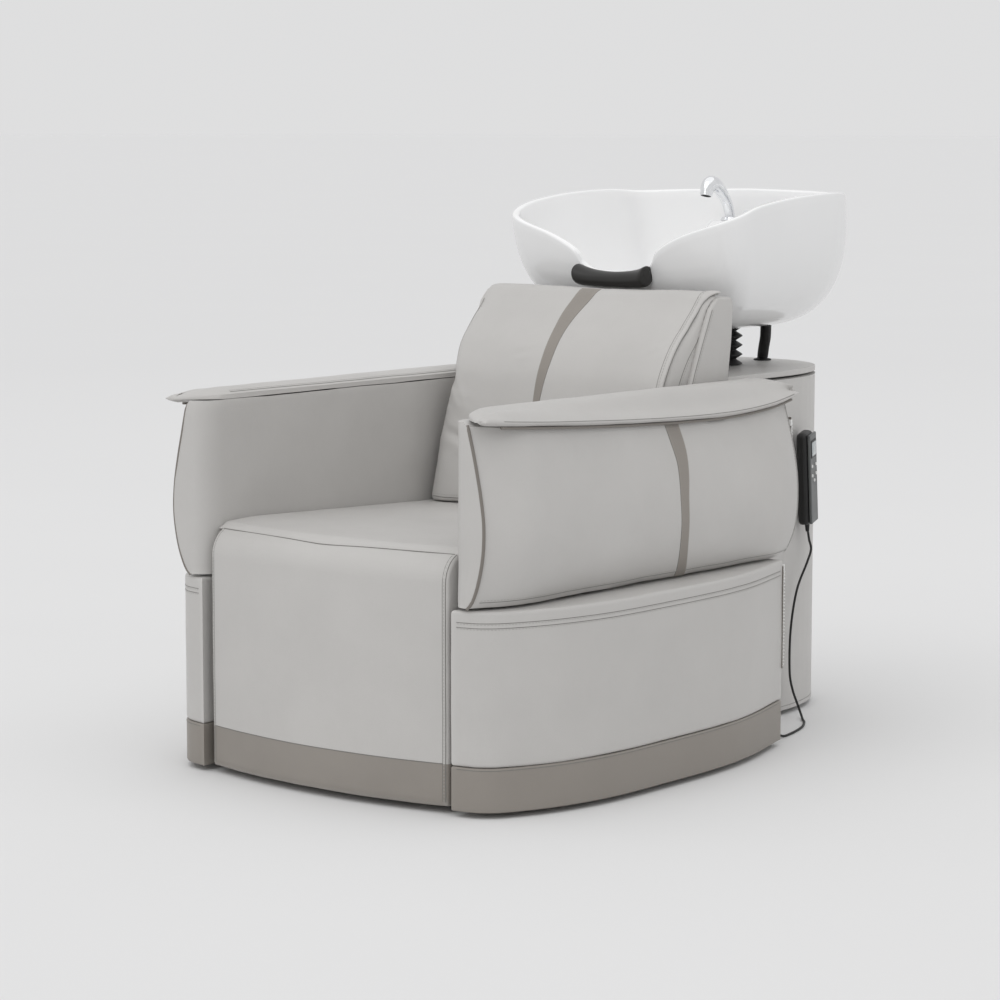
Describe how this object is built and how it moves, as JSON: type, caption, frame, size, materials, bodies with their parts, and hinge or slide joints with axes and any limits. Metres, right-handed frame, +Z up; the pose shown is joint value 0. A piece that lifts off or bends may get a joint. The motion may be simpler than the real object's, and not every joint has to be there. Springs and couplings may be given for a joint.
{
  "type": "shampoo backwash unit",
  "caption": "Salon backwash unit: upholstered armchair seat with powered legrest, joined to a pedestal that carries a tilting ceramic basin with neck rest, hand shower and mixer.",
  "frame": {"origin": "middle of the footprint, on the floor", "axes": "+Y from the legrest to the basin, +X to the side the wired handset hangs on, +Z up"},
  "size_m": [0.8528, 1.317, 1.0131],
  "materials": {
    "leather": "light grey upholstery leather over foam",
    "taupe_leather": "taupe trim leather",
    "steel": "black painted steel",
    "zinc": "zinc-plated steel",
    "chrome": "polished chrome",
    "ceramic": "white glazed ceramic",
    "rubber": "black rubber",
    "gel": "soft black gel rubber",
    "board": "plywood",
    "black_plastic": "black moulded plastic",
    "grey_plastic": "grey moulded plastic",
    "white_plastic": "white moulded plastic"
  },
  "bodies": {
    "base": {"base_frame": "steel", "seat_board": "board", "seat_cushion": "leather", "back_cushion": "leather", "back_shell": "leather", "rear_panel": "leather", "control_box": "black_plastic", "arm_left": "leather", "arm_right": "leather", "arm_top_left": "leather", "arm_top_right": "leather", "skirt_left": "leather", "skirt_right": "leather", "skirt_band_left": "taupe_leather", "skirt_band_right": "taupe_leather", "pedestal_shell": "leather", "pedestal_top": "leather", "foot_front_left": "rubber", "foot_front_right": "rubber", "foot_rear_left": "rubber", "foot_rear_right": "rubber", "actuator_body": "black_plastic", "handset_hook": "zinc", "handset_cord": "rubber", "cord_gland": "rubber", "hose_grommet": "rubber", "water_hose": "rubber", "bellows": "rubber", "tilt_bracket": "steel"},
    "legrest": {"legrest_panel": "leather", "legrest_band": "taupe_leather", "legrest_pin_left": "zinc", "legrest_pin_right": "zinc", "legrest_crank": "zinc"},
    "rod": {"actuator_rod": "zinc"},
    "basin": {"basin": "ceramic", "neck_rest": "gel", "drain_strainer": "chrome", "drain_spigot": "black_plastic", "tilt_plate": "steel", "shower_socket": "chrome", "mixer_body": "chrome"},
    "shower": {"hand_shower": "chrome", "spray_face": "black_plastic"},
    "mixer": {"mixer_cartridge": "chrome"},
    "lever": {"mixer_lever": "chrome"},
    "door": {"service_door": "leather"},
    "latch": {"door_latch": "chrome"},
    "handset": {"handset_case": "black_plastic", "handset_face": "grey_plastic", "handset_relief": "rubber"},
    "button_1": {"handset_button_1": "white_plastic"},
    "button_2": {"handset_button_2": "white_plastic"},
    "button_3": {"handset_button_3": "white_plastic"},
    "button_4": {"handset_button_4": "white_plastic"},
    "button_5": {"handset_button_5": "white_plastic"},
    "arm_zip_left": {"arm_zip_slider_left": "zinc"},
    "arm_zip_right": {"arm_zip_slider_right": "zinc"},
    "skirt_zip_left": {"skirt_zip_slider_left": "zinc"},
    "skirt_zip_right": {"skirt_zip_slider_right": "zinc"}
  },
  "joints": [
    {"name": "legrest_swing", "type": "hinge", "parent": "base", "child": "legrest", "pos_m": [0, -0.5815, 0.378], "axis": [-1, 0, 0], "range_deg": [0, 75]},
    {"name": "rod_slide", "type": "slide", "parent": "base", "child": "rod", "axis": [0, -1, 0], "range_m": [0, 0.1225]},
    {"name": "basin_tilt", "type": "hinge", "parent": "base", "child": "basin", "pos_m": [0, 0.4525, 0.69], "axis": [-1, 0, 0], "range_deg": [0, 12], "deforming": ["bellows", "water_hose"]},
    {"name": "shower_lift", "type": "slide", "parent": "basin", "child": "shower", "axis": [0, 0, 1], "range_m": [0, 0.1]},
    {"name": "mixer_turn", "type": "hinge", "parent": "basin", "child": "mixer", "pos_m": [0.062, 0.5505, 0.926], "axis": [0, 0, 1], "range_deg": [-45, 45]},
    {"name": "lever_lift", "type": "hinge", "parent": "mixer", "child": "lever", "pos_m": [0.062, 0.5525, 0.945], "axis": [-1, 0, 0], "range_deg": [0, 20]},
    {"name": "door_open", "type": "hinge", "parent": "base", "child": "door", "pos_m": [0.11, 0.6378, 0.34], "axis": [0, 0, -1], "range_deg": [0, 100]},
    {"name": "latch_turn", "type": "hinge", "parent": "door", "child": "latch", "pos_m": [-0.095, 0.6446, 0.34], "axis": [0, 1, 0], "range_deg": [0, 90]},
    {"name": "handset_lift", "type": "slide", "parent": "base", "child": "handset", "axis": [0.0382, -0.1248, 0.9914], "range_m": [0, 0.045]},
    {"name": "button_1_press", "type": "slide", "parent": "handset", "child": "button_1", "axis": [-0.9563, -0.2924, 0], "range_m": [0, 0.0012], "stiffness_N_per_m": 400},
    {"name": "button_2_press", "type": "slide", "parent": "handset", "child": "button_2", "axis": [-0.9563, -0.2924, 0], "range_m": [0, 0.0012], "stiffness_N_per_m": 400},
    {"name": "button_3_press", "type": "slide", "parent": "handset", "child": "button_3", "axis": [-0.9563, -0.2924, 0], "range_m": [0, 0.0012], "stiffness_N_per_m": 400},
    {"name": "button_4_press", "type": "slide", "parent": "handset", "child": "button_4", "axis": [-0.9563, -0.2924, 0], "range_m": [0, 0.0012], "stiffness_N_per_m": 400},
    {"name": "button_5_press", "type": "slide", "parent": "handset", "child": "button_5", "axis": [-0.9563, -0.2924, 0], "range_m": [0, 0.0012], "stiffness_N_per_m": 400},
    {"name": "arm_zip_left_pull", "type": "slide", "parent": "base", "child": "arm_zip_left", "axis": [0, 0, -1], "range_m": [0, 0.055]},
    {"name": "arm_zip_right_pull", "type": "slide", "parent": "base", "child": "arm_zip_right", "axis": [0, 0, -1], "range_m": [0, 0.055]},
    {"name": "skirt_zip_left_pull", "type": "slide", "parent": "base", "child": "skirt_zip_left", "axis": [0, 0, -1], "range_m": [0, 0.165]},
    {"name": "skirt_zip_right_pull", "type": "slide", "parent": "base", "child": "skirt_zip_right", "axis": [0, 0, -1], "range_m": [0, 0.165]}
  ],
  "couplings": [
    {"joint": "rod_slide", "follows": "legrest_swing", "m_per_rad": 0.093}
  ]
}
